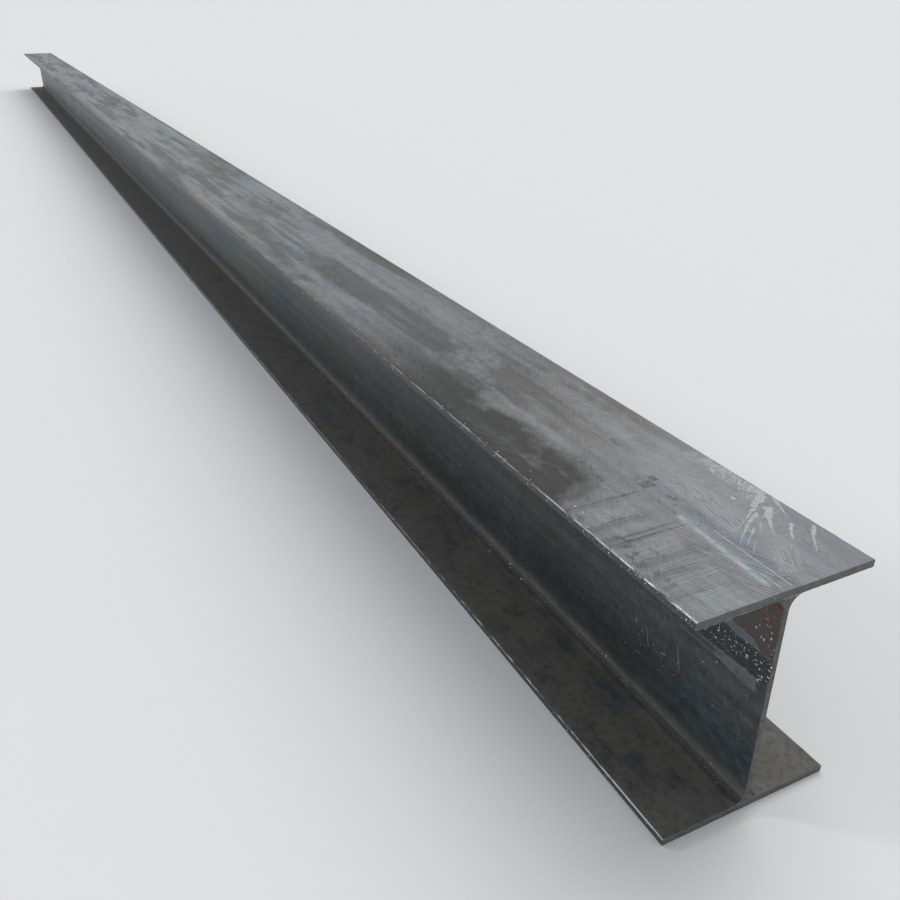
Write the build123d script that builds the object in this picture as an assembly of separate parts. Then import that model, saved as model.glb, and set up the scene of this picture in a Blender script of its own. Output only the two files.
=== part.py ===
from build123d import *
import os

# Hot-rolled wide-flange steel I-beam, one length of stock lying on its bottom flange.
# Lengths are in millimetres. X runs along the beam, Y across the flanges, Z up.
# The origin is the middle of the underside of the bottom flange.

# Rolled section
depth = 383.0
flange_width = 299.0
flange_thickness = 12.5
web_thickness = 9.5
root_radius = 22.0
flange_tip_radius = 2.0

# Stock length
length = 12000.0

# The web runs between the middles of the two flanges and merges with them.
web_height = depth - flange_thickness
bottom_flange_middle = flange_thickness / 2
top_flange_middle = depth - flange_thickness / 2

with BuildPart() as i_beam:
    with BuildSketch(Plane.YZ) as section:
        with Locations((0, depth / 2)):
            Rectangle(web_thickness, web_height)
        with Locations((0, bottom_flange_middle), (0, top_flange_middle)):
            Rectangle(flange_width, flange_thickness)

        # Four concave roots where the web meets the flanges
        roots = section.vertices().filter_by(lambda corner: abs(corner.X) < flange_width / 4)
        fillet(roots, radius=root_radius)

        # Slightly rounded long edges of both flanges, as rolling leaves them
        tips = section.vertices().filter_by(lambda corner: abs(corner.X) > flange_width / 4)
        fillet(tips, radius=flange_tip_radius)

    extrude(amount=length / 2, both=True)

os.makedirs("parts", exist_ok=True)
export_step(i_beam.part, "parts/i_beam.step")
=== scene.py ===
import math

import bpy
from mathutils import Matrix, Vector, geometry, noise


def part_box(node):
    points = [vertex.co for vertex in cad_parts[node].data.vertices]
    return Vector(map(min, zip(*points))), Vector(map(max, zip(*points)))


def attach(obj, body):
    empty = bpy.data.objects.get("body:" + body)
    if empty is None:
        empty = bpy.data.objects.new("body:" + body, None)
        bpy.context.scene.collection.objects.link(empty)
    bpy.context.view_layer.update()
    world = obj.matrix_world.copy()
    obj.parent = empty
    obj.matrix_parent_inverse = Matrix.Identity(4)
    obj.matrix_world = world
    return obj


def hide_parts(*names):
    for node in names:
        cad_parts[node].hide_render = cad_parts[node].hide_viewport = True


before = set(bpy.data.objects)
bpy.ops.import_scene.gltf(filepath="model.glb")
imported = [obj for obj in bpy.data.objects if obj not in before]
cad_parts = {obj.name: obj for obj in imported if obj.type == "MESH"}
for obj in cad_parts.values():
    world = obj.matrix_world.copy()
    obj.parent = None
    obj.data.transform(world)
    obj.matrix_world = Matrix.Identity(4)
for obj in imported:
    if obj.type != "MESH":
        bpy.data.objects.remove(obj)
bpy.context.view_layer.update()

# One length of hot-rolled steel I-beam on a pale floor, in metres.
# X runs along the beam with its front end at +X, Y across the flanges, Z up.

low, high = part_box("i_beam")
FRONT = high[0]
BACK = low[0]
HALF_WIDTH = high[1]
DEPTH = high[2]

# Rolled section, as in the part's source
FLANGE = 0.0125
HALF_WEB = 0.00475
ROOT_RADIUS = 0.022
TIP_RADIUS = 0.002

# Fineness of the beam's mesh: sections are a growing step apart along the beam, past a fine stretch
FLAT_STEP = 0.0085
ROOT_PIECES = 8
TIP_PIECES = 3
FIRST_STATION = 0.005
LAST_STATION = 0.085
FINE_STRETCH = 0.42
STATION_GROWTH = 1.028
END_GRID = 0.0045
END_GRID_MARGIN = 0.45 * END_GRID
SHARP_ANGLE = 38

# Flat layout for a baked picture of the finishes, in shares of its side: the skin in three stretches,
# of which the short one near the front end gets the most room for its length, and the two cut ends
BAKE_MAP = "OFBake"
BAKE_CUTS = (0.0, 0.50, 6.25, 12.0)
BAKE_PATCHES = ((0.004, 0.192, 0.261, 0.996), (0.269, 0.504, 0.996, 0.996), (0.269, 0.004, 0.996, 0.496))
CAP_CORNERS = ((0.004, 0.006), (0.1365, 0.006))
CAP_SCALE = 0.416

# Spacing of the cross lines that conveyor rollers left near the front end
CROSS_PITCH = 0.0042

# Added to the distance behind the front end on the underside, which has none of the marks near that end
UNDERSIDE_SHIFT = 20.0

# Finishes, in the order of the mesh's material slots
FLANGE_FACE, FLANGE_EDGE, TROUGH, SAWN_END = range(4)

# How far the surface may lie under the nominal one, and the noise value at which a nick starts
WAVE_DEPTH = 0.00035
PIT_DEPTH = 0.00012
CUT_DEPTH = 0.0009
NICK_DEPTH = 0.0011
NICK_FROM = 0.42

# Unit of the finishes' relief
MILLIMETRE = 0.001

# Colours that more than one mark has, as linear red, green and blue
SOOT = (0.026, 0.025, 0.024)
SLATE = (0.128, 0.152, 0.172)
FAN_LINE = (0.330, 0.362, 0.384)
PALE_SCRATCH = (0.165, 0.188, 0.200)
BARE_STEEL = (0.480, 0.490, 0.490)


def section_corners():
    """Corners of the I as (y, z, radius), counter-clockwise seen from the front."""
    b, w, t, h = HALF_WIDTH, HALF_WEB, FLANGE, DEPTH
    tip, root = TIP_RADIUS, ROOT_RADIUS
    lower = [(b, 0, tip), (b, t, tip), (w, t, root)]
    upper = [(w, h - t, root), (b, h - t, tip), (b, h, tip)]
    right = lower + upper
    left = [(-y, z, r) for y, z, r in reversed(right)]
    return right + left


def section_outline():
    """Points round the I as (y, z), with true arcs at the roots and tips."""
    corners = section_corners()
    rounds = []
    for i, (y, z, radius) in enumerate(corners):
        here = Vector((y, z))
        before = (Vector(corners[i - 1][:2]) - here).normalized()
        after = (Vector(corners[(i + 1) % len(corners)][:2]) - here).normalized()
        start = here + before * radius
        centre = start + after * radius
        count = ROOT_PIECES if radius == ROOT_RADIUS else TIP_PIECES
        arc = []
        for k in range(count + 1):
            turn = math.radians(90) * k / count
            arc.append(centre - after * radius * math.cos(turn) - before * radius * math.sin(turn))
        rounds.append(arc)
    points = []
    for i, arc in enumerate(rounds):
        points += arc
        start, end = arc[-1], rounds[(i + 1) % len(rounds)][0]
        pieces = max(1, round((end - start).length / FLAT_STEP))
        points += [start.lerp(end, k / pieces) for k in range(1, pieces)]
    return points


def stations():
    """Distances from the front end at which the section is repeated, close together near that end."""
    length = FRONT - BACK
    places = [0.0]
    step = FIRST_STATION
    while places[-1] < length - LAST_STATION:
        places.append(places[-1] + step)
        if places[-1] > FINE_STRETCH:
            step = min(step * STATION_GROWTH, LAST_STATION)
    places[-1] = length
    return places


def inward(points):
    """Unit vectors into the steel at each outline point."""
    result = []
    for i, point in enumerate(points):
        along = points[(i + 1) % len(points)] - points[i - 1]
        result.append(Vector((-along.y, along.x)).normalized())
    return result


def level_at(x, y, z):
    """Smooth random value from 0 to 1 at a place."""
    return 0.5 + 0.5 * noise.noise(Vector((x, y, z)))


def surface_depth(x, y, z):
    """How far the rolled surface lies under the nominal one: slow waves and shallow pits."""
    wave = level_at(x * 2.3, y * 9.0, z * 9.0)
    pits = noise.fractal(Vector((x * 60.0, y * 60.0, z * 60.0)), 0.8, 2.2, 3)
    return WAVE_DEPTH * wave + PIT_DEPTH * max(0.0, pits)


def nick_depth(x, y, z):
    """Small dents along the flanges' long edges."""
    if abs(y) < HALF_WIDTH - TIP_RADIUS:
        return 0.0
    bite = noise.noise(Vector((x * 38.0, math.copysign(4.0, y), math.copysign(7.0, z - DEPTH / 2))))
    return NICK_DEPTH * max(0.0, bite - NICK_FROM) / (1.0 - NICK_FROM)


def cut_depth(y, z, end):
    """How far the sawn end lies inside the nominal length: slow waves, saw lines and roughness."""
    wave = level_at(y * 14.0, z * 14.0, 3.0 + end)
    grain = level_at(y * 500.0, z * 45.0, 9.0 + end)
    rough = level_at(y * 160.0, z * 160.0, 15.0 + end)
    return CUT_DEPTH * (0.5 * wave + 0.3 * grain + 0.2 * rough)


def end_cap(outline):
    """Triangles that fill the I, with grid points inside, as (extra points, triangles)."""
    inside = []
    rows = int(DEPTH / END_GRID)
    columns = int(2 * HALF_WIDTH / END_GRID)
    for row in range(1, rows):
        z = DEPTH * row / rows
        for column in range(1, columns):
            y = -HALF_WIDTH + 2 * HALF_WIDTH * column / columns
            if within_section(y, z, END_GRID_MARGIN):
                inside.append(Vector((y, z)))
    count = len(outline)
    edges = [(i, (i + 1) % count) for i in range(count)]
    points, _, faces, origins, _, _ = geometry.delaunay_2d_cdt(outline + inside, edges, [], 1, 1e-7)
    source = [where[0] if where else None for where in origins]
    triangles = [[source[i] for i in face] for face in faces]
    return inside, [t for t in triangles if None not in t]


def within_section(y, z, margin):
    """True where a point is inside the I by at least the margin."""
    side, rise = abs(y), min(z, DEPTH - z)
    if side > HALF_WIDTH - margin or rise < margin:
        return False
    if rise < FLANGE - margin or side < HALF_WEB - margin:
        return True
    over, up = HALF_WEB + ROOT_RADIUS - side, FLANGE + ROOT_RADIUS - rise
    if over < 0 or up < 0:
        return False
    return math.hypot(over, up) > ROOT_RADIUS + margin


def finish_at(y, z):
    """Index of the finish at a place on the outline: outer flange face, flange edge, or trough."""
    if abs(y) > HALF_WIDTH - TIP_RADIUS:
        return FLANGE_EDGE
    if min(z, DEPTH - z) < TIP_RADIUS / 2:
        return FLANGE_FACE
    return TROUGH


def build_beam():
    """The beam as one closed mesh, each face with its finish."""
    outline = section_outline()
    into = inward(outline)
    places = stations()
    count = len(outline)

    vertices = []
    for place in places:
        x = FRONT - place
        for point, direction in zip(outline, into):
            y, z = point
            depth = surface_depth(x, y, z) + nick_depth(x, y, z)
            moved = point + direction * depth
            offset = 0.0
            if place == 0.0:
                offset = -cut_depth(y, z, 0)
            elif place == places[-1]:
                offset = cut_depth(y, z, 1)
            vertices.append((x + offset, moved.x, moved.y))

    faces = []
    finishes = []
    for row in range(len(places) - 1):
        a, b = row * count, (row + 1) * count
        for i in range(count):
            j = (i + 1) % count
            faces.append((a + i, b + i, b + j, a + j))
            finishes.append(finish_at(*outline[i].lerp(outline[j], 0.5)))

    inside, triangles = end_cap(outline)
    for end, ring in ((0, 0), (1, (len(places) - 1) * count)):
        base = len(vertices)
        x, sign = (FRONT, -1) if end == 0 else (BACK, 1)
        for point in inside:
            vertices.append((x + sign * cut_depth(point.x, point.y, end), point.x, point.y))
        for triangle in triangles:
            corners = [ring + i if i < count else base + i - count for i in triangle]
            if end == 1:
                corners.reverse()
            faces.append(tuple(corners))
            finishes.append(SAWN_END)

    mesh = bpy.data.meshes.new("rolled_beam")
    mesh.from_pydata(vertices, [], faces)
    for finish in (flange_face_finish, flange_edge_finish, trough_finish, sawn_end_finish):
        mesh.materials.append(finish())
    mesh.polygons.foreach_set("material_index", finishes)
    lay_flat(mesh, outline, places)
    mesh.shade_smooth()
    mesh.set_sharp_from_angle(angle=math.radians(SHARP_ANGLE))
    mesh.validate()
    beam = bpy.data.objects.new("rolled_beam", mesh)
    bpy.context.scene.collection.objects.link(beam)
    return beam


def lay_flat(mesh, outline, places):
    """Unrolls the skin and the cut ends into the map that finishes can be baked through."""
    count = len(outline)
    girths = [0.0]
    for i, point in enumerate(outline):
        girths.append(girths[-1] + (outline[(i + 1) % count] - point).length)
    cuts = [min(range(len(places)), key=lambda i: abs(places[i] - cut)) for cut in BAKE_CUTS]

    layout = mesh.uv_layers.new(name=BAKE_MAP)
    for face in mesh.polygons:
        if face.material_index == SAWN_END:
            spots = [cap_spot(mesh.vertices[corner].co) for corner in face.vertices]
        else:
            row, i = divmod(face.index, count)
            stretch = sum(row >= cut for cut in cuts[1:-1])
            start, end = places[cuts[stretch]], places[cuts[stretch + 1]]
            spots = []
            for r, k in ((row, i), (row + 1, i), (row + 1, i + 1), (row, i + 1)):
                along = (places[r] - start) / (end - start)
                spots.append(patch_spot(BAKE_PATCHES[stretch], along, girths[k] / girths[-1]))
        for loop, spot in zip(face.loop_indices, spots):
            layout.uv[loop].vector = spot


def patch_spot(patch, along, around):
    """Spot in a patch of the layout, from its shares of the stretch's length and girth."""
    left, bottom, right, top = patch
    return left + (right - left) * along, bottom + (top - bottom) * around


def cap_spot(corner):
    """Spot in the layout of a corner on a cut end, each end as it is seen from outside."""
    front = corner.x > 0
    left, bottom = CAP_CORNERS[0 if front else 1]
    side = HALF_WIDTH + (corner.y if front else -corner.y)
    return left + CAP_SCALE * side, bottom + CAP_SCALE * corner.z


class Graph:
    """Short names for the nodes of one material."""

    def __init__(self, name):
        self.material = bpy.data.materials.new(name)
        self.material.use_nodes = True
        self.nodes = self.material.node_tree.nodes
        self.links = self.material.node_tree.links
        self.nodes.clear()

    def feed(self, socket, value):
        if isinstance(value, bpy.types.NodeSocket):
            self.links.new(value, socket)
        elif isinstance(value, tuple) and socket.type == "RGBA":
            socket.default_value = (*value, 1.0)
        else:
            socket.default_value = value

    def node(self, kind, inputs=None, **settings):
        made = self.nodes.new("ShaderNode" + kind)
        for key, value in settings.items():
            setattr(made, key, value)
        for key, value in (inputs or {}).items():
            self.feed(made.inputs[key], value)
        return made

    def math(self, operation, a, b=0.0, c=0.0):
        return self.node("Math", {0: a, 1: b, 2: c}, operation=operation).outputs[0]

    def add(self, a, b):
        return self.math("ADD", a, b)

    def total(self, first, *others):
        result = first
        for other in others:
            result = self.add(result, other)
        return result

    def minus(self, a, b):
        return self.math("SUBTRACT", a, b)

    def times(self, first, *others):
        result = first
        for other in others:
            result = self.math("MULTIPLY", result, other)
        return result

    def most(self, first, *others):
        result = first
        for other in others:
            result = self.math("MAXIMUM", result, other)
        return result

    def less(self, a, b):
        return self.math("LESS_THAN", a, b)

    def size(self, a):
        return self.math("ABSOLUTE", a)

    def point(self, x, y, z=0.0):
        return self.node("CombineXYZ", {0: x, 1: y, 2: z}).outputs[0]

    def parts(self, vector):
        return self.node("SeparateXYZ", {0: vector}).outputs

    def scaled(self, vector, factor):
        return self.node("VectorMath", {0: vector, "Scale": factor}, operation="SCALE").outputs[0]

    def ramp(self, value, start, end, first=0.0, last=1.0):
        inputs = {0: value, 1: start, 2: end, 3: first, 4: last}
        return self.node("MapRange", inputs, interpolation_type="SMOOTHSTEP").outputs[0]

    def band(self, value, start, end, soft):
        """1 between start and end, falling to 0 over soft on each side."""
        rise = self.ramp(value, start - soft, start)
        fall = self.ramp(value, end, end + soft, 1.0, 0.0)
        return self.times(rise, fall)

    def mix(self, share, a, b):
        made = self.node("Mix", data_type="RGBA")
        for index, value in ((0, share), (6, a), (7, b)):
            self.feed(made.inputs[index], value)
        return made.outputs[2]

    def between(self, share, a, b):
        made = self.node("Mix", data_type="FLOAT")
        for index, value in ((0, share), (2, a), (3, b)):
            self.feed(made.inputs[index], value)
        return made.outputs[0]

    def noise(self, vector, scale=(1.0, 1.0, 1.0), detail=3.0, rough=0.5):
        """Smooth random values from 0 to 1, with scale in features per metre along each axis."""
        moved = self.node("Mapping", {"Vector": vector, "Scale": scale}).outputs[0]
        inputs = {"Vector": moved, "Scale": 1.0, "Detail": detail, "Roughness": rough}
        return self.node("TexNoise", inputs).outputs[0]


class Finish:
    """Colour, roughness and relief in millimetres, laid on mark by mark."""

    def __init__(self, graph, colour, rough, relief):
        self.graph, self.colour, self.rough, self.relief = graph, colour, rough, relief

    def lay(self, share, colour=None, rough=None, relief=None):
        g = self.graph
        if colour is not None:
            self.colour = g.mix(share, self.colour, colour)
        if rough is not None:
            self.rough = g.between(share, self.rough, rough)
        if relief is not None:
            self.relief = g.add(self.relief, g.times(share, relief))

    def shade(self, factor):
        self.colour = self.graph.scaled(self.colour, factor)

    def done(self, metallic):
        g = self.graph
        bump = g.node("Bump", {"Strength": 1.0, "Distance": MILLIMETRE, "Height": self.relief})
        look = {"Base Color": self.colour, "Roughness": self.rough, "Metallic": metallic}
        shader = g.node("BsdfPrincipled", {**look, "Normal": bump.outputs[0]})
        g.node("OutputMaterial", {"Surface": shader.outputs[0]})
        return g.material


class Places:
    """Where a shaded point lies: metres behind the front end, across from the left and below the top."""

    def __init__(self, g):
        self.place = g.node("TexCoord").outputs["Object"]
        x, self.side, self.height = g.parts(self.place)
        self.back = g.minus(FRONT, x)
        self.across = g.add(self.side, HALF_WIDTH)
        self.below = g.minus(DEPTH, self.height)
        self.flat = g.point(self.back, self.across)
        self.waver = g.minus(g.noise(self.place, (26.0, 26.0, 26.0), 4.0, 0.6), 0.5)
        self.ragged = g.noise(self.place, (250.0, 250.0, 250.0), 3.0, 0.6)
        self.blobs = g.noise(self.place, (80.0, 80.0, 80.0), 3.0, 0.6)


def mill_scale(g, place, warm, cool):
    """Bare rolled finish: warm and cool clouds, long streaks, scores, mottling, scale flakes and grain."""
    clouds = g.noise(place, (2.2, 7.0, 7.0), 4.0, 0.6)
    streaks = g.noise(place, (0.9, 60.0, 60.0), 3.0, 0.6)
    mottle = g.noise(place, (34.0, 46.0, 46.0), 5.0, 0.65)
    grain = g.noise(place, (520.0, 520.0, 520.0), 2.0, 0.6)
    flakes = g.ramp(g.noise(place, (50.0, 95.0, 95.0), 5.0, 0.62), 0.485, 0.525)
    crust = g.ramp(g.noise(place, (190.0, 260.0, 260.0), 3.0, 0.6), 0.44, 0.60)
    scored = g.ramp(g.noise(place, (1.6, 640.0, 640.0), 1.0, 0.5), 0.60, 0.70)
    colour = g.mix(g.ramp(clouds, 0.36, 0.64), warm, cool)
    level = g.total(0.12, g.times(streaks, 0.34), g.times(mottle, 0.72), g.times(grain, 0.28))
    level = g.total(level, g.times(flakes, 0.18), g.times(crust, 0.18), g.times(scored, 0.18))
    rough = g.total(0.28, g.times(clouds, 0.14), g.times(mottle, 0.20), g.times(flakes, 0.07))
    relief = g.total(g.times(grain, 0.05), g.times(mottle, 0.14), g.times(flakes, 0.025))
    return Finish(g, g.scaled(colour, level), rough, relief)


def drops(g, along, around, spacing, wet, tall=1.6):
    """Beads of water on a flat stretch, as domes from 0 to 1; wet is the share of cells that hold one."""
    flat = g.point(along, g.times(around, 1.0 / tall))
    inputs = {"Vector": flat, "Scale": 1.0 / spacing, "Randomness": 0.9}
    cell = g.node("TexVoronoi", inputs, voronoi_dimensions="2D")
    pick, width, fill = g.node("SeparateColor", {0: cell.outputs["Color"]}).outputs[:3]
    radius = g.add(0.13, g.times(width, width, 0.27))
    share = g.math("DIVIDE", cell.outputs["Distance"], radius)
    dome = g.math("MAXIMUM", g.minus(1.0, g.times(share, share)), 0.0)
    return g.times(dome, g.less(pick, wet), g.ramp(fill, 0.0, 0.8, 0.45, 1.0))


def lay_drops(g, finish, bead, height, painted_highlight, rim=0.85):
    """Beads as glossy domes, with painted shade round the rim and a painted highlight in the middle."""
    finish.lay(g.ramp(bead, 0.02, 0.20), None, rough=0.06)
    # Painted shade round each bead's rim, and a painted highlight in its middle
    finish.lay(g.times(g.band(bead, 0.12, 0.34, 0.10), rim), (0.014, 0.016, 0.017))
    finish.lay(g.times(g.ramp(bead, 0.40, 0.72), painted_highlight), (0.800, 0.845, 0.870))
    finish.lay(bead, None, relief=height)


def stroke(g, at, start, end, width, bend=0.0, thin_end=0.25):
    """A chalky stroke with ragged edges between two points, bowed by bend and thinner at its end."""
    (x0, y0), (x1, y1) = start, end
    length = math.hypot(x1 - x0, y1 - y0)
    unit = ((x1 - x0) / length, (y1 - y0) / length, 0.0)
    beside = (-unit[1], unit[0], 0.0)
    away = g.node("VectorMath", {0: at.flat, 1: (x0, y0, 0.0)}, operation="SUBTRACT").outputs[0]
    along = g.node("VectorMath", {0: away, 1: unit}, operation="DOT_PRODUCT").outputs["Value"]
    aside = g.node("VectorMath", {0: away, 1: beside}, operation="DOT_PRODUCT").outputs["Value"]
    aside = g.add(aside, g.times(at.waver, 0.006))
    share = g.times(along, 1.0 / length)
    if bend:
        aside = g.minus(aside, g.times(share, g.minus(1.0, share), 4.0 * bend))
    reach = g.ramp(share, 0.15, 0.85, width, width * thin_end)
    reach = g.times(reach, g.ramp(at.blobs, 0.30, 0.70, 0.45, 1.50))
    over = g.minus(g.size(aside), reach)
    body = g.times(g.band(share, 0.0, 1.0, 0.06), g.ramp(over, -0.0010, 0.0006, 1.0, 0.0))
    hairs = g.math("SINE", g.add(g.times(aside, 2400.0), g.times(at.ragged, 9.0)))
    texture = g.add(g.ramp(hairs, -0.6, 0.7, 0.50, 0.78), g.ramp(at.ragged, 0.42, 0.56, -0.25, 0.22))
    return g.times(body, texture)


def hatching(g, flat, turn, pitch, stretch, bare=0.48):
    """Fine parallel scuffs, turned from the beam's length by some degrees; bare sets how few there are."""
    inputs = {"Vector": flat, "Rotation": (0.0, 0.0, math.radians(-turn))}
    turned = g.node("Mapping", inputs).outputs[0]
    return g.ramp(g.noise(turned, (1.0 / stretch, 1.0 / pitch, 1.0), 2.0, 0.5), bare, bare + 0.18)


def comb(g, at, across, pitch, sway=0.0014):
    """Evenly spaced ragged lines, 1 on a line, that run where across stays equal and sway beside it."""
    wave = g.math("SINE", g.times(g.add(across, g.times(at.waver, sway)), 2.0 * math.pi / pitch))
    return g.ramp(g.add(wave, g.times(g.minus(at.ragged, 0.5), 2.2)), -0.10, 0.75)


def specks(g, flat, spacing, share, reach):
    """Scattered small spots: 1 inside a spot."""
    inputs = {"Vector": flat, "Scale": 1.0 / spacing, "Randomness": 1.0}
    cell = g.node("TexVoronoi", inputs, voronoi_dimensions="2D")
    pick, width = g.node("SeparateColor", {0: cell.outputs["Color"]}).outputs[:2]
    edge = g.times(width, reach)
    spot = g.ramp(cell.outputs["Distance"], g.times(edge, 0.6), edge, 1.0, 0.0)
    return g.times(g.less(pick, share), spot)


def scribble(g, at, level):
    """Thin wandering lines, where a noise crosses a level."""
    return g.ramp(g.size(g.minus(at.blobs, level)), 0.006, 0.020, 1.0, 0.0)


def flange_face_finish():
    """Outer faces of the flanges: grey scale and all that was rolled, dragged and dripped on it."""
    g = Graph("flange_face")
    at = Places(g)
    at.back = g.add(at.back, g.times(g.less(at.height, DEPTH / 2), UNDERSIDE_SHIFT))
    at.flat = g.point(at.back, at.across)
    finish = mill_scale(g, at.place, (0.166, 0.163, 0.163), (0.144, 0.167, 0.184))
    weather_face(g, at, finish)
    lay_roller_lines(g, at, finish)
    lay_smears_across(g, at, finish)
    lay_scribbles(g, at, finish)
    lay_middle_stripe(g, at, finish)
    lay_brushed_strokes(g, at, finish)
    lay_fans(g, at, finish)
    lay_right_rim(g, at, finish)
    lay_stains(g, at, finish)
    lay_wear(g, at, finish)
    left_rim = g.times(g.ramp(at.across, 0.001, 0.008, 0.46, 0.0), g.ramp(at.back, 0.3, 1.5, 1.0, 0.3))
    strays = g.ramp(g.noise(at.place, (3.0, 9.0, 1.0), 2.0, 0.5), 0.58, 0.72, 0.001, 0.04)
    wet = g.add(left_rim, strays)
    lay_drops(g, finish, drops(g, at.back, at.across, 0.0050, wet), 0.4, 0.60)
    return finish.done(0.30)


def weather_face(g, at, finish):
    """Long stripes left by the rolls, a bluish right half, brown edges, wet and dusty areas, and painted
    shade, shadow and sheen.
    """
    stripes = g.noise(g.point(g.times(at.back, 0.25), at.across), (1.0, 42.0, 1.0), 2.0, 0.5)
    finish.shade(g.ramp(stripes, 0.3, 0.7, 0.84, 1.16))
    # Bluish tone with a painted sheen on the right half near the front end
    bluish_sheen = g.times(g.ramp(at.across, 0.13, 0.20), g.ramp(at.back, 0.30, 0.50, 0.42, 0.0))
    finish.lay(bluish_sheen, (0.172, 0.190, 0.214))
    inset = g.minus(HALF_WIDTH, g.size(g.minus(at.across, HALF_WIDTH)))
    brown = g.times(g.ramp(inset, 0.010, 0.026, 0.6, 0.0), g.ramp(at.back, 0.25, 0.6))
    finish.lay(brown, (0.098, 0.086, 0.078))
    # Painted shade from about 0.22 m behind the front end, then a painted sheen that lightens the top
    # further back
    finish.shade(g.times(g.ramp(at.back, 0.22, 0.50, 1.0, 0.90), g.ramp(at.back, 0.70, 3.00, 1.0, 1.65)))

    patches = g.ramp(g.noise(at.place, (1.3, 15.0, 9.0), 4.0, 0.55), 0.46, 0.60)
    ragged = g.add(at.across, g.times(at.waver, 0.05))
    # Wet patches along the length, and a painted shadow on wet scale on the left half from about 0.3 m to
    # 1 m back
    first = g.times(g.ramp(ragged, 0.07, 0.13, 0.88, 0.0), g.ramp(at.back, 0.7, 1.3, 1.0, 0.0))
    behind = g.total(at.back, g.times(at.across, -0.5), g.times(at.waver, 0.08))
    at.damp = g.times(g.most(g.times(patches, 0.50), first), g.ramp(behind, 0.255, 0.325))
    finish.lay(at.damp, (0.024, 0.025, 0.022), rough=0.72)
    patch = g.ramp(g.noise(at.place, (5.0, 13.0, 9.0), 2.0, 0.5), 0.56, 0.64)
    finish.lay(g.times(g.ramp(at.blobs, 0.54, 0.59), patch, 0.75), (0.040, 0.041, 0.035))
    chalk = g.ramp(g.noise(at.place, (4.0, 10.0, 7.0), 3.0, 0.6), 0.52, 0.66)
    finish.lay(g.times(chalk, g.ramp(at.blobs, 0.40, 0.56, 0.25, 0.55)), (0.235, 0.245, 0.240), rough=0.50)


def lay_roller_lines(g, at, finish):
    """Fine cross lines from conveyor rollers: near the front end, as strays, and as ladders of ticks."""
    lines = g.math("SINE", g.times(g.add(at.back, g.times(at.waver, 0.0016)), 2.0 * math.pi / CROSS_PITCH))
    fine = g.noise(at.place, (900.0, 22.0, 1.0), 2.0, 0.5)
    strength = g.ramp(g.noise(at.place, (170.0, 10.0, 1.0), 3.0, 0.6), 0.38, 0.62, 0.06, 1.0)
    near = g.times(g.ramp(at.back, 0.150, 0.215, 1.0, 0.0), g.ramp(at.back, 0.012, 0.045, 0.15, 1.0))
    near = g.times(near, g.band(at.across, 0.050, 0.122, 0.045))
    strays = g.times(g.ramp(g.noise(at.place, (2.2, 14.0, 1.0), 2.0, 0.5), 0.56, 0.66), 0.55)
    field = g.times(g.most(near, strays), strength)
    ridged = g.add(lines, g.times(fine, 1.4))
    finish.lay(g.times(g.ramp(ridged, 0.6, 1.4), field, 0.74), (0.062, 0.060, 0.060), relief=-0.03)
    finish.lay(g.times(g.ramp(ridged, 0.75, -0.05), field, 0.34), (0.275, 0.290, 0.300))

    ticks = g.times(g.ramp(ridged, 0.9, 1.5), g.ramp(at.ragged, 0.36, 0.50, 0.45, 1.0))
    right = g.times(g.band(at.across, 0.160, 0.170, 0.003), g.ramp(at.back, 0.20, 0.23, 1.0, 0.0))
    finish.lay(g.times(ticks, right, 0.85), (0.052, 0.042, 0.041), relief=-0.03)
    inner = g.times(g.band(at.across, 0.142, 0.153, 0.003), g.ramp(at.back, 0.14, 0.17, 1.0, 0.0))
    finish.lay(g.times(ticks, inner, 0.55), (0.070, 0.072, 0.078))
    pink = g.times(g.band(at.across, 0.111, 0.128, 0.004), g.ramp(at.back, 0.17, 0.20, 1.0, 0.0))
    finish.lay(g.times(pink, 0.30), (0.205, 0.165, 0.165))
    finish.lay(g.times(ticks, pink, 0.75), (0.082, 0.062, 0.060))


def lay_smears_across(g, at, finish):
    """Dark smears and single lines across the left half."""
    streaky = g.ramp(g.noise(at.place, (300.0, 9.0, 1.0), 3.0, 0.6), 0.38, 0.64)
    shifted = g.add(at.back, g.times(at.waver, 0.022))
    # Where each smear starts and ends behind the front end, how far across it reaches, and its strength
    smears = (
        (0.276, 0.288, 0.090, 0.50),
        (0.217, 0.230, 0.080, 0.58),
        (0.174, 0.193, 0.085, 0.68),
        (0.117, 0.131, 0.095, 0.46),
        (0.088, 0.103, 0.060, 0.54),
        (0.050, 0.056, 0.035, 0.50),
    )
    for start, end, reach, strength in smears:
        fade = g.ramp(at.across, reach, reach + 0.045, 1.0, 0.0)
        smear = g.times(g.band(shifted, start, end, 0.006), fade)
        smear = g.times(smear, g.add(0.25, g.times(streaky, 0.75)), strength)
        finish.lay(smear, (0.045, 0.044, 0.044))
    broken = g.ramp(at.ragged, 0.36, 0.54, 0.35, 1.0)
    # Where each line lies behind the front end, how far across it reaches, and its strength
    lines = (
        (0.2835, 0.125, 0.80),
        (0.2240, 0.102, 0.60),
        (0.1910, 0.132, 0.70),
        (0.1790, 0.132, 0.85),
    )
    for where, reach, strength in lines:
        line = g.band(g.add(at.back, g.times(at.waver, 0.006)), where, where + 0.0007, 0.0013)
        line = g.times(line, g.ramp(at.across, reach, reach + 0.005, 1.0, 0.0), broken)
        finish.lay(g.times(line, strength), (0.035, 0.034, 0.035))
    heavy = g.times(g.band(at.back, 0.2825, 0.2845, 0.001), g.band(at.across, 0.100, 0.125, 0.004))
    finish.lay(g.times(heavy, g.ramp(at.blobs, 0.40, 0.52), 0.85), SOOT)


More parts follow.
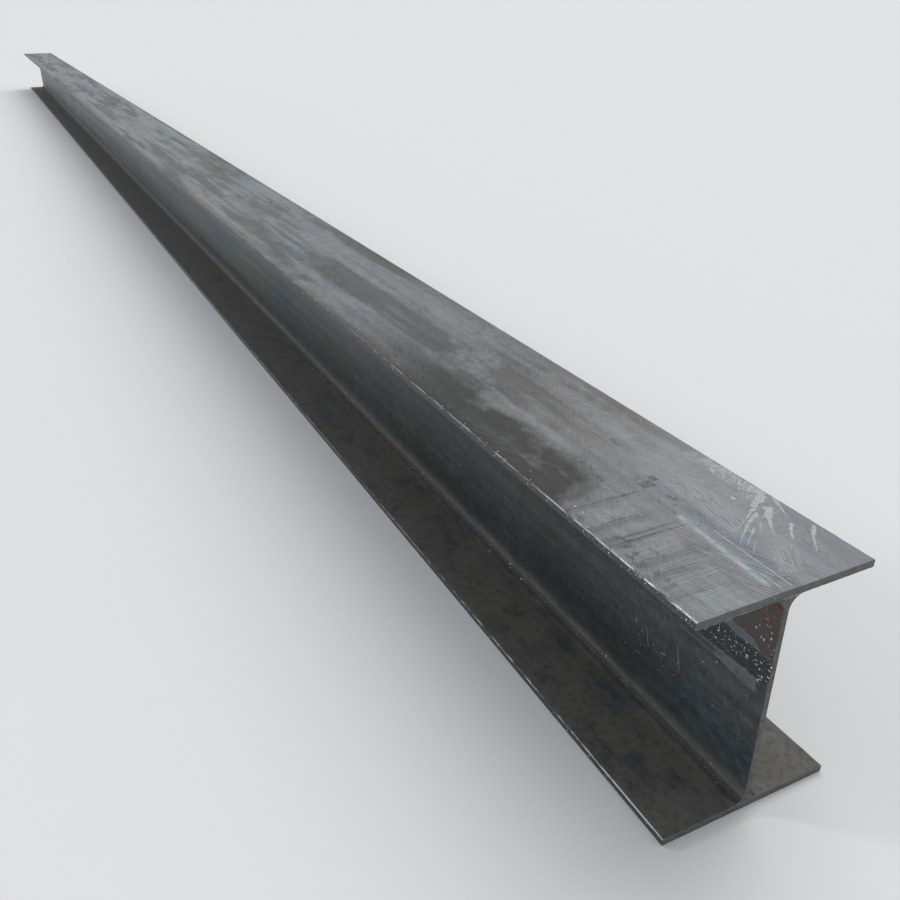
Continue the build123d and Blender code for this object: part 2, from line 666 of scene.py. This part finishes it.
def lay_scribbles(g, at, finish):
    """Pale wandering scribbles, a dark smudge and oval, and bowed scratches on the left half."""
    loops = scribble(g, at, 0.50)
    pale = g.times(loops, g.band(at.back, 0.241, 0.257, 0.004), g.band(at.across, 0.026, 0.078, 0.005))
    finish.lay(g.times(pale, 0.65), (0.300, 0.320, 0.325))
    smudge = g.times(g.band(at.back, 0.122, 0.152, 0.006), g.band(at.across, 0.014, 0.050, 0.008))
    finish.lay(g.times(smudge, g.ramp(at.blobs, 0.50, 0.58), 0.62), (0.058, 0.055, 0.055))
    slanted = g.minus(at.back, g.times(g.minus(at.across, 0.018), 0.25))
    oval = g.times(g.band(slanted, 0.069, 0.073, 0.003), g.band(at.across, 0.009, 0.027, 0.004))
    finish.lay(g.times(oval, 0.60), (0.060, 0.059, 0.056))
    arcs = comb(g, at, g.add(at.across, g.times(at.back, at.back, 2.4)), 0.0040)
    arcs = g.times(arcs, g.band(at.back, 0.008, 0.042, 0.006), g.band(at.across, 0.042, 0.074, 0.010))
    finish.lay(g.times(arcs, 0.55), (0.290, 0.308, 0.315))


def lay_middle_stripe(g, at, finish):
    """Bluish white scuff along the middle, whose edges run on as two rails, and two lines beside it."""
    aside = g.size(g.minus(at.across, g.add(0.1300, g.times(at.back, 0.044))))
    aside = g.add(aside, g.times(g.minus(at.ragged, 0.5), 0.0080))
    ends = g.band(g.add(at.back, g.times(at.waver, 0.03)), 0.026, 0.196, 0.016)
    finish.lay(g.times(g.ramp(aside, 0.003, 0.014, 0.36, 0.0), ends), (0.250, 0.285, 0.315))
    body = g.times(g.ramp(aside, 0.0016, 0.0066, 1.0, 0.0), ends, g.ramp(at.blobs, 0.34, 0.62, 0.40, 1.0))
    body = g.times(body, g.ramp(at.ragged, 0.36, 0.54, 0.50, 1.0))
    body = g.times(body, g.ramp(g.noise(at.place, (45.0, 90.0, 1.0), 3.0, 0.6), 0.40, 0.54, 0.42, 1.0))
    finish.lay(g.times(body, 0.72), (0.315, 0.385, 0.430), rough=0.36)
    rails = g.ramp(g.size(g.minus(aside, 0.0080)), 0.0005, 0.0024, 1.0, 0.0)
    rails = g.times(rails, g.band(at.back, 0.185, 0.300, 0.030), g.ramp(at.blobs, 0.36, 0.58, 0.30, 1.0))
    finish.lay(g.times(rails, 0.48), (0.268, 0.238, 0.228))
    # Where each line beside the scuff lies across, and where it starts and ends behind the front end
    lines = (
        (0.1572, 0.007, 0.149),
        (0.1412, 0.010, 0.044),
    )
    for where, start, end in lines:
        line = g.band(at.across, where - 0.0003, where + 0.0003, 0.0008)
        line = g.times(line, g.band(at.back, start, end, 0.002), g.ramp(at.ragged, 0.34, 0.50, 0.45, 1.0))
        finish.lay(g.times(line, 0.85), (0.400, 0.420, 0.430))


def lay_brushed_strokes(g, at, finish):
    """Chalky brushed strokes on the right half."""
    chalk = (0.390, 0.430, 0.465)
    # Start and end of each stroke, behind the front end and across, its half width, bend and thinning
    strokes = (
        ((0.200, 0.294), (0.136, 0.183), 0.0062, -0.003, 0.10),
        ((0.157, 0.242), (0.108, 0.166), 0.0040, 0.003, 0.22),
        ((0.128, 0.210), (0.101, 0.174), 0.0016, 0.001, 0.60),
        ((0.103, 0.190), (0.085, 0.169), 0.0014, 0.000, 0.60),
        ((0.134, 0.227), (0.116, 0.212), 0.0011, 0.000, 0.60),
        ((0.162, 0.268), (0.104, 0.224), 0.0072, 0.002, 0.10),
        ((0.178, 0.297), (0.134, 0.276), 0.0030, 0.001, 0.50),
        ((0.114, 0.266), (0.086, 0.240), 0.0028, 0.001, 0.50),
        ((0.096, 0.290), (0.050, 0.246), 0.0036, 0.002, 0.40),
    )
    for start, end, width, bend, thin_end in strokes:
        share = g.times(stroke(g, at, start, end, width, bend, thin_end), 0.92)
        finish.lay(share, chalk, rough=0.38)


def lay_fans(g, at, finish):
    """Two fans of fine pale lines on darker ground: a long bowed one, and a steep one near the front."""
    behind = g.minus(at.back, 0.145)
    bowed = g.add(g.minus(at.across, g.times(behind, 0.20)), g.times(behind, behind, 0.80))
    broken = g.add(bowed, g.times(g.minus(at.blobs, 0.5), 0.034))
    shifted = g.add(at.back, g.times(at.blobs, 0.05))
    fan = g.times(g.band(broken, 0.174, 0.210, 0.010), g.band(shifted, 0.165, 0.300, 0.020))
    fan = g.times(fan, hatching(g, at.flat, 8.0, 0.0065, 0.045, 0.36))
    finish.lay(g.times(fan, 0.45), (0.112, 0.116, 0.122))
    finish.lay(g.times(comb(g, at, bowed, 0.0050, 0.0070), fan, 0.90), FAN_LINE)
    steep = g.minus(at.across, g.times(at.back, 0.62))
    broken = g.add(steep, g.times(g.minus(at.blobs, 0.5), 0.030))
    shifted = g.add(at.back, g.times(at.blobs, 0.03))
    low = g.times(g.band(shifted, 0.048, 0.090, 0.014), g.band(broken, 0.148, 0.180, 0.008))
    low = g.times(low, hatching(g, at.flat, 32.0, 0.0060, 0.025, 0.36))
    finish.lay(g.times(low, 0.35), (0.120, 0.124, 0.130))
    finish.lay(g.times(comb(g, at, steep, 0.0040, 0.0070), low, 0.85), FAN_LINE)


def lay_right_rim(g, at, finish):
    """A pale rim with bright slanting nicks along the right edge, and beside it a blunt scuff painted
    bright as a glint.
    """
    rim = g.times(g.ramp(at.across, 0.256, 0.296), g.band(at.back, 0.205, 0.325, 0.04))
    finish.lay(g.times(rim, g.ramp(at.blobs, 0.40, 0.60, 0.20, 0.75)), (0.330, 0.350, 0.360))
    nicked = hatching(g, at.flat, 66.0, 0.004, 0.012, 0.50)
    nicked = g.times(nicked, g.band(at.across, 0.270, 0.297, 0.008))
    finish.lay(g.times(nicked, g.band(at.back, 0.215, 0.30, 0.02), 0.7), BARE_STEEL)
    # Painted glint on a small scuff near the right edge
    blunt = g.times(g.band(at.across, 0.245, 0.285, 0.01), g.band(at.back, 0.199, 0.209, 0.004))
    finish.lay(g.times(blunt, g.ramp(at.ragged, 0.58, 0.66), 0.9), (0.600, 0.620, 0.630), rough=0.2)


def lay_stains(g, at, finish):
    """Small square stains behind the lines, dark crumbs of scale, and a pale haze on the right half."""
    # Where each square starts and ends behind the front end, its left and right side, and its strength
    squares = (
        (0.286, 0.304, 0.143, 0.165, 0.80),
        (0.299, 0.313, 0.169, 0.180, 0.78),
        (0.311, 0.322, 0.144, 0.160, 0.30),
    )
    worn = g.ramp(at.ragged, 0.34, 0.46, 0.30, 1.0)
    for start, end, left, right, strength in squares:
        square = g.times(g.band(at.back, start, end, 0.0012), g.band(at.across, left, right, 0.0012))
        finish.lay(g.times(square, worn, strength), (0.046, 0.045, 0.041), rough=0.5)
    crumbly = g.times(g.band(at.back, 0.235, 0.284, 0.02), g.band(at.across, 0.140, 0.172, 0.008))
    finish.lay(g.times(crumbly, g.ramp(at.blobs, 0.55, 0.62), 0.75), (0.060, 0.056, 0.052))
    haze = g.times(g.band(at.back, 0.305, 0.365, 0.035), g.band(at.across, 0.205, 0.245, 0.030))
    finish.lay(g.times(haze, g.ramp(at.blobs, 0.34, 0.60, 0.20, 0.50)), (0.238, 0.252, 0.252))


def lay_wear(g, at, finish):
    """Scuffs, fewer on wet patches and painted shadow, and dark chips and pale crumbs, over the whole
    length.
    """
    dry_and_lit = g.minus(1.0, g.times(at.damp, 0.75))
    rubbed = g.ramp(g.noise(at.place, (3.1, 10.0, 1.0), 3.0, 0.5), 0.50, 0.66)
    scuffs = g.times(hatching(g, at.flat, -20.0, 0.0035, 0.05), rubbed, dry_and_lit, 0.38)
    finish.lay(scuffs, (0.290, 0.305, 0.315))
    rest = g.times(g.minus(1.0, rubbed), dry_and_lit, 0.16)
    finish.lay(g.times(hatching(g, at.flat, 35.0, 0.0040, 0.06), rest), (0.290, 0.295, 0.300))
    chips = g.times(specks(g, at.flat, 0.021, 0.26, 0.09), 0.85)
    finish.lay(chips, SOOT, relief=-0.12)
    crumbs = g.times(specks(g, at.flat, 0.040, 0.20, 0.030), 0.8)
    finish.lay(crumbs, BARE_STEEL, rough=0.2, relief=0.10)


def flange_edge_finish():
    """Side faces of the flanges and their rounded corners, with painted shade near the front end, and
    rubbed bright along the upper one with a painted highlight.
    """
    g = Graph("flange_edge")
    at = Places(g)
    finish = mill_scale(g, at.place, (0.066, 0.063, 0.060), (0.056, 0.064, 0.066))
    # Painted shade: darker near the front end and lighter further back
    finish.shade(g.ramp(at.back, 0.80, 3.50, 1.0, 1.6))
    under = g.math("MODULO", at.below, DEPTH - FLANGE)
    worn = g.noise(at.place, (26.0, 1.0, 300.0), 4.0, 0.65)
    corner = g.ramp(under, 0.0007, 0.0021, 1.0, 0.0)
    # Upper corner worn, with a painted highlight that fades further back
    rubbed = g.times(corner, g.ramp(worn, 0.42, 0.58), g.ramp(at.back, 0.35, 1.1, 1.0, 0.45))
    finish.lay(rubbed, (0.400, 0.430, 0.445), rough=0.33)
    # Brighter painted highlight on the upper corner near the front end
    bright = g.times(corner, g.ramp(worn, 0.34, 0.48), g.ramp(at.back, 0.07, 0.24, 1.0, 0.0))
    finish.lay(bright, (0.620, 0.650, 0.660), rough=0.22)
    low_corner = g.ramp(under, FLANGE - 0.0026, FLANGE - 0.0010)
    finish.lay(g.times(low_corner, g.ramp(worn, 0.40, 0.60), 0.6), (0.200, 0.215, 0.220), rough=0.3)
    chips = specks(g, g.point(at.back, g.times(under, 1.6)), 0.011, 0.4, 0.22)
    finish.lay(g.times(chips, 0.8), (0.034, 0.032, 0.029), relief=-0.2)
    wet = g.times(g.ramp(at.back, 0.10, 0.40, 0.68, 0.16), g.ramp(at.height, 0.1, 0.2, 0.35, 1.0))
    lay_drops(g, finish, drops(g, at.back, under, 0.0050, wet), 0.4, 0.85)
    return finish.done(0.30)


def trough_finish():
    """Web, roots and inner flange faces: blue-grey scale, with rust, tide marks and water near the cut."""
    g = Graph("trough_scale")
    at = Places(g)
    finish = mill_scale(g, at.place, (0.072, 0.075, 0.072), (0.052, 0.070, 0.080))
    half = g.math("SIGN", g.minus(at.height, DEPTH / 2))
    at.right = g.math("GREATER_THAN", at.side, 0.0)
    at.girth = g.add(at.height, g.times(half, g.minus(g.size(at.side), HALF_WEB)))
    at.along = g.add(at.back, g.times(at.right, 31.7))
    at.left_web = g.times(g.minus(1.0, at.right), g.ramp(g.size(at.side), 0.012, 0.030, 1.0, 0.0))
    at.deep = g.add(at.below, g.times(at.waver, 0.014))
    weather_trough(g, at, finish)
    lay_rust(g, at, finish)
    lay_tide_marks(g, at, finish)
    lay_trough_scratches(g, at, finish)
    lay_trough_water(g, at, finish)
    return finish.done(0.35)


def weather_trough(g, at, finish):
    """Long blue sheen bands, dirt on the bottom flange and its roots, and painted shade on the left web
    and bottom flange near the front end, darkest low on the web.
    """
    # Painted shade with wet: darker on the left near the front end, lighter on the right and further back
    dry_and_lit = g.most(g.ramp(at.back, 0.50, 3.00, 1.08, 1.95), g.times(at.right, 1.9))
    finish.shade(dry_and_lit)
    bands = g.noise(g.point(g.times(at.along, 0.4), at.girth), (1.0, 26.0, 1.0), 3.0, 0.55)
    finish.shade(g.ramp(bands, 0.3, 0.7, 0.72, 1.24))
    ground = g.ramp(at.height, FLANGE + 0.006, FLANGE + 0.042, 1.0, 0.0)
    dirt = g.times(ground, g.ramp(g.noise(at.place, (9.0, 16.0, 9.0), 6.0, 0.66), 0.36, 0.52))
    finish.lay(g.times(ground, 0.80), None, rough=0.62)
    # Paler grey on the bottom flange and roots, less near the front end, which is left darker as painted
    # shade
    finish.lay(g.times(ground, g.ramp(at.back, 0.05, 0.90, 0.30, 0.70)), (0.112, 0.113, 0.110))
    finish.lay(g.times(dirt, 0.75), (0.150, 0.141, 0.124), rough=0.80, relief=0.06)
    finish.lay(g.times(g.ramp(at.blobs, 0.48, 0.66), ground, 0.45), (0.060, 0.056, 0.049))
    # Painted shade in dark olive low on the left web, fading further back
    low_web_shade = g.times(g.ramp(at.below, 0.15, 0.30), g.ramp(at.back, 0.05, 0.30), g.minus(1.0, ground))
    low_web_shade = g.times(low_web_shade, g.ramp(at.back, 0.60, 1.80, 0.58, 0.20), g.minus(1.0, at.right))
    finish.lay(low_web_shade, (0.027, 0.029, 0.025))


def lay_rust(g, at, finish):
    """Rust beside the cut, thin further along, and a small daub of red primer in the top root."""
    rusty = g.noise(at.place, (30.0, 30.0, 42.0), 5.0, 0.65)
    reach = g.ramp(g.add(at.back, g.times(at.waver, 0.05)), 0.080, 0.120, 1.0, 0.0)
    zone = g.times(g.band(at.deep, 0.034, 0.104, 0.012), reach)
    at.rust = g.times(zone, at.left_web, g.ramp(rusty, 0.30, 0.50, 0.35, 1.0))
    finish.lay(g.times(at.rust, 0.80), (0.098, 0.076, 0.071), rough=0.55, relief=0.08)
    beside_cut = g.ramp(at.back, 0.020, 0.055, 1.0, 0.35)
    finish.lay(g.times(at.rust, g.ramp(rusty, 0.44, 0.60), beside_cut, 0.80), (0.124, 0.069, 0.055))
    finish.lay(g.times(at.rust, g.ramp(at.ragged, 0.56, 0.66), 0.5), (0.060, 0.050, 0.050))
    areas = g.ramp(g.noise(at.place, (4.0, 9.0, 11.0), 3.0, 0.6), 0.63, 0.74)
    finish.lay(g.times(areas, g.ramp(rusty, 0.45, 0.62), 0.55), (0.076, 0.044, 0.031), rough=0.6)
    daub = g.times(g.ramp(at.back, 0.0055, 0.0090, 1.0, 0.0), g.band(at.deep, 0.0205, 0.0290, 0.002))
    finish.lay(g.times(daub, g.minus(1.0, at.right), 0.9), (0.300, 0.052, 0.035), rough=0.25, relief=1.2)


def lay_tide_marks(g, at, finish):
    """Grey-blue tide mark under the rust, a soaked band, and a pale tongue that starts as thin lines."""
    chalky = g.ramp(at.blobs, 0.32, 0.58, 0.35, 1.0)
    drop = g.math("POWER", 2.718, g.times(g.minus(0.014, at.back), 100.0))
    middle = g.add(0.1080, g.times(drop, 0.018))
    width = g.ramp(at.back, 0.020, 0.045, 0.0012, 0.0060)
    over = g.add(g.minus(g.size(g.minus(at.deep, middle)), width), g.times(g.minus(at.blobs, 0.5), 0.010))
    tide = g.times(g.ramp(over, -0.0006, 0.0014, 1.0, 0.0), g.ramp(at.back, 0.092, 0.112, 1.0, 0.0))
    tide = g.times(tide, at.left_web)
    finish.lay(g.times(tide, chalky, 0.90), SLATE, rough=0.42)
    crest = g.times(g.ramp(g.size(g.add(over, 0.0006)), 0.0004, 0.0014, 1.0, 0.0), tide)
    finish.lay(g.times(crest, 0.55), (0.215, 0.240, 0.255))

    soaked = g.times(g.band(at.deep, 0.119, 0.156, 0.006), g.ramp(at.back, 0.22, 0.42, 1.0, 0.0))
    finish.lay(g.times(soaked, at.left_web, 0.80), (0.016, 0.018, 0.019), rough=0.16)

    ragged = g.add(at.below, g.add(g.times(at.waver, 0.008), g.times(g.minus(at.blobs, 0.5), 0.007)))
    over = g.minus(g.size(g.minus(ragged, 0.1695)), g.ramp(at.back, 0.030, 0.100, 0.0110, 0.0060))
    inside = g.times(g.ramp(over, -0.0008, 0.0010, 1.0, 0.0), at.left_web)
    filled = g.ramp(g.add(at.back, g.times(at.waver, 0.04)), 0.094, 0.104, 1.0, 0.0)
    filled = g.times(filled, g.ramp(g.add(at.back, g.times(at.blobs, 0.05)), 0.034, 0.056))
    finish.lay(g.times(inside, filled, chalky, 0.95), SLATE, rough=0.45)
    rim = g.times(g.ramp(g.size(over), 0.0004, 0.0014, 1.0, 0.0), g.ramp(at.ragged, 0.32, 0.46, 0.40, 1.0))
    rim = g.times(rim, at.left_web, g.band(at.back, 0.040, 0.170, 0.010))
    finish.lay(g.times(rim, 0.75), PALE_SCRATCH)


def lay_trough_scratches(g, at, finish):
    """Scratches in every direction, gathered in places, and a few single bright ones on the left."""
    flat = g.point(g.add(at.along, g.times(at.waver, 0.010)), g.add(at.girth, g.times(at.waver, 0.010)))
    worked = g.ramp(g.noise(at.place, (5.0, 5.0, 7.0), 2.0, 0.5), 0.38, 0.60)
    for turn, strength, bare in ((58.0, 0.55, 0.58), (-35.0, 0.46, 0.63), (5.0, 0.38, 0.54)):
        scratched = g.times(hatching(g, flat, turn, 0.0034, 0.060, bare), worked, strength)
        finish.lay(scratched, PALE_SCRATCH)
    brushed = g.times(g.band(at.back, 0.205, 0.300, 0.03), g.band(at.below, 0.180, 0.255, 0.02))
    brushed = g.times(brushed, at.left_web)
    upright = hatching(g, flat, 84.0, 0.0032, 0.040, 0.54)
    finish.lay(g.times(upright, g.most(brushed, g.times(worked, 0.4)), 0.55), (0.150, 0.168, 0.176))
    # Both ends of each bright scratch, behind the front end and below the top
    singles = (
        (0.214, 0.222, 0.184, 0.203),
        (0.207, 0.226, 0.190, 0.215),
        (0.173, 0.216, 0.163, 0.251),
        (0.243, 0.238, 0.236, 0.262),
    )
    broken = g.times(g.ramp(at.ragged, 0.36, 0.50, 0.40, 1.0), at.left_web)
    for x0, y0, x1, y1 in singles:
        slope = (x1 - x0) / (y1 - y0)
        away = g.minus(at.back, g.add(x0 - slope * y0, g.times(at.below, slope)))
        line = g.times(g.ramp(g.size(away), 0.0004, 0.0016, 1.0, 0.0), g.band(at.below, y0, y1, 0.004))
        finish.lay(g.times(line, broken, 0.70), (0.230, 0.285, 0.310))


def lay_trough_water(g, at, finish):
    """A dark line and glints at the foot of the web, and beads and runs of water, most near the cut."""
    foot = g.band(g.add(at.below, g.times(at.waver, 0.004)), 0.3625, 0.3680, 0.003)
    finish.lay(g.times(foot, 0.8), (0.014, 0.014, 0.012), rough=0.60)
    patchy = g.ramp(at.blobs, 0.44, 0.56)
    unrolled = g.point(at.along, at.girth)
    glints = g.times(specks(g, unrolled, 0.0030, 0.60, 0.50), patchy)
    glints = g.times(glints, g.band(at.height, 0.0150, 0.0200, 0.002), g.minus(1.0, at.right))
    finish.lay(g.times(glints, 0.6), (0.130, 0.158, 0.150), rough=0.30)

    uneven = g.minus(at.ragged, 0.5)
    along = g.add(at.along, g.times(uneven, 0.0050))
    around = g.minus(at.girth, g.times(uneven, 0.0040))
    small = drops(g, along, around, 0.0052, wet_share_small(g, at), 1.7)
    lay_drops(g, finish, small, 0.4, 0.70, 0.5)

    soaked = g.times(g.band(at.deep, 0.122, 0.154, 0.007), g.ramp(at.back, 0.07, 0.24, 0.72, 0.03))
    beside_cut = g.times(g.band(at.deep, 0.034, 0.150, 0.010), g.band(at.back, 0.0035, 0.0080, 0.003))
    near_cut = g.times(g.most(g.times(soaked, 0.35), g.times(beside_cut, 0.70)), at.left_web)
    lanes = g.ramp(g.noise(unrolled, (2.4, 60.0, 1.0), 2.0, 0.5), 0.62, 0.72, 0.004, 0.20)
    lanes = g.times(lanes, g.ramp(at.height, FLANGE + 0.004, FLANGE + 0.020, 0.04, 1.0))
    on_root = g.times(g.band(at.height, 0.0165, 0.0230, 0.003), patchy, 0.07)
    beads = drops(g, along, around, 0.0062, g.most(near_cut, lanes, on_root), 1.35)
    lay_drops(g, finish, beads, 0.5, 0.95)

    sloping = g.minus(around, g.times(at.along, 0.16))
    runs = drops(g, along, sloping, 0.0120, g.times(soaked, at.left_web), 0.30)
    lay_drops(g, finish, runs, 0.5, 0.95)


def wet_share_small(g, at):
    """Share of wet cells among the small beads: a loose patch low on the web and one in the rust."""
    patchy = g.ramp(at.blobs, 0.38, 0.62, 0.15, 1.0)
    low_patch = g.times(g.band(at.deep, 0.245, 0.285, 0.022), g.band(at.back, 0.165, 0.300, 0.045), 0.30)
    in_rust = g.times(g.band(at.deep, 0.046, 0.100, 0.010), g.band(at.back, 0.010, 0.036, 0.012), 0.42)
    return g.times(g.most(low_patch, in_rust), patchy, at.left_web)


def sawn_end_finish():
    """Cut ends: dull grey with slanting saw lines, brown stains and a bright burr round the rim."""
    g = Graph("sawn_end")
    at = Places(g)
    finish = mill_scale(g, at.place, (0.128, 0.118, 0.110), (0.108, 0.120, 0.122))
    slant = g.add(at.height, g.times(at.across, 0.16))
    saw = g.noise(g.point(g.times(at.across, 0.02), slant), (1.0, 1300.0, 1.0), 2.0, 0.6)
    finish.shade(g.ramp(saw, 0.3, 0.7, 0.82, 1.16))
    finish.lay(saw, None, relief=0.10)
    under = g.math("MODULO", at.below, DEPTH - FLANGE)
    blotches = g.ramp(g.noise(at.place, (1.0, 60.0, 60.0), 3.0, 0.6), 0.4, 0.6)
    brown = g.times(g.ramp(under, FLANGE * 0.5, FLANGE), blotches)
    finish.lay(g.times(brown, 0.55), (0.066, 0.050, 0.040), rough=0.6)
    bloom = g.ramp(g.noise(at.place, (1.0, 34.0, 34.0), 4.0, 0.65), 0.56, 0.68)
    finish.lay(g.times(bloom, 0.40), (0.104, 0.064, 0.043), rough=0.62)
    low_side = g.minus(DEPTH / 2, g.size(g.minus(at.below, DEPTH / 2)))
    inner_rim = g.band(low_side, FLANGE - 0.0009, FLANGE + 0.0002, 0.0005)
    burr = g.most(g.ramp(low_side, 0.0005, 0.0011, 1.0, 0.0), inner_rim)
    burr = g.times(burr, g.ramp(g.noise(at.place, (1.0, 90.0, 90.0), 4.0, 0.6), 0.40, 0.58))
    finish.lay(g.times(burr, 0.7), (0.330, 0.340, 0.340), rough=0.3)
    lay_drops(g, finish, drops(g, at.across, at.height, 0.0065, 0.03), 0.4, 0.6)
    return finish.done(0.25)


# Stage: the reach of the floor to each side, and the sky as the camera sees it and as it lights the beam
FLOOR_REACH = 400.0
SKY_SEEN = (0.755, 0.770, 0.775, 1.0)
SKY_LIGHT = (0.92, 0.96, 1.0, 1.0)
SKY_STRENGTH = 0.55


def floor_material():
    """Matt pale floor."""
    g = Graph("pale_floor")
    place = g.node("TexCoord").outputs["Object"]
    cloud = g.noise(place, (6.0, 6.0, 6.0), 3.0, 0.5)
    colour = g.mix(cloud, (0.812, 0.812, 0.812), (0.822, 0.822, 0.822))
    look = {"Base Color": colour, "Roughness": 0.9, "Specular IOR Level": 0.2}
    shader = g.node("BsdfPrincipled", look)
    g.node("OutputMaterial", {"Surface": shader.outputs[0]})
    return g.material


def build_floor():
    """A wide floor at the beam's underside."""
    reach = FLOOR_REACH
    mesh = bpy.data.meshes.new("floor")
    corners = [(-reach, -reach, 0), (reach, -reach, 0), (reach, reach, 0), (-reach, reach, 0)]
    mesh.from_pydata(corners, [], [(0, 1, 2, 3)])
    mesh.materials.append(floor_material())
    floor = bpy.data.objects.new("floor", mesh)
    bpy.context.scene.collection.objects.link(floor)


def light_sky():
    """A pale dome of even light, and the backdrop that the camera sees."""
    world = bpy.data.worlds.new("daylight")
    world.use_nodes = True
    nodes, links = world.node_tree.nodes, world.node_tree.links
    nodes.clear()
    seen = nodes.new("ShaderNodeBackground")
    seen.inputs[0].default_value = SKY_SEEN
    seen.inputs[1].default_value = 1.0
    lit = nodes.new("ShaderNodeBackground")
    lit.inputs[0].default_value = SKY_LIGHT
    lit.inputs[1].default_value = SKY_STRENGTH
    path = nodes.new("ShaderNodeLightPath")
    mix = nodes.new("ShaderNodeMixShader")
    out = nodes.new("ShaderNodeOutputWorld")
    links.new(path.outputs["Is Camera Ray"], mix.inputs[0])
    links.new(lit.outputs[0], mix.inputs[1])
    links.new(seen.outputs[0], mix.inputs[2])
    links.new(mix.outputs[0], out.inputs[0])
    bpy.context.scene.world = world


def add_sun(name, energy, spread, colour, towards):
    """A far lamp of some width, in degrees, shining along a direction."""
    data = bpy.data.lights.new(name, "SUN")
    data.energy = energy
    data.angle = math.radians(spread)
    data.color = colour
    sun = bpy.data.objects.new(name, data)
    sun.rotation_euler = Vector(towards).to_track_quat("-Z", "Y").to_euler()
    bpy.context.scene.collection.objects.link(sun)


# The photograph's viewpoint, worked out from the vanishing points of the beam's edges: metres beyond the
# front end, left of the beam's middle and above the top flange
EYE_BEYOND = 0.619
EYE_LEFT = 0.783
EYE_ABOVE = 0.661

# Lens and aim in degrees, turned further and a little wider than the photograph's, for the whole beam
FOCAL_PIXELS = 890.0
FRAME_PIXELS = 900
SENSOR_WIDTH = 36.0
TURN_RIGHT = 26.53
LOOK_DOWN = 27.27
NEAREST_SEEN = 0.05
FURTHEST_SEEN = 1500.0


def place_camera():
    """Camera at the photograph's viewpoint."""
    data = bpy.data.cameras.new("camera")
    data.sensor_fit = "HORIZONTAL"
    data.sensor_width = SENSOR_WIDTH
    data.lens = SENSOR_WIDTH * FOCAL_PIXELS / FRAME_PIXELS
    data.clip_start = NEAREST_SEEN
    data.clip_end = FURTHEST_SEEN
    camera = bpy.data.objects.new("camera", data)
    camera.location = (FRONT + EYE_BEYOND, -EYE_LEFT, DEPTH + EYE_ABOVE)
    turn, down = math.radians(TURN_RIGHT), math.radians(LOOK_DOWN)
    aim = Vector((-math.cos(turn) * math.cos(down), math.sin(turn) * math.cos(down), -math.sin(down)))
    camera.rotation_euler = aim.to_track_quat("-Z", "Y").to_euler()
    bpy.context.scene.collection.objects.link(camera)
    bpy.context.scene.camera = camera


beam = build_beam()
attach(beam, "root")
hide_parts("i_beam")

build_floor()
light_sky()
add_sun("broad_lamp", energy=1.35, spread=50, colour=(1.0, 0.98, 0.95), towards=(0.45, -0.55, -1.0))
add_sun("low_lamp", energy=0.45, spread=9, colour=(1.0, 1.0, 1.0), towards=(0.62, 0.62, -0.42))
place_camera()
bpy.context.scene.view_settings.view_transform = "Standard"

print("triangles", sum(len(f.vertices) - 2 for f in beam.data.polygons))
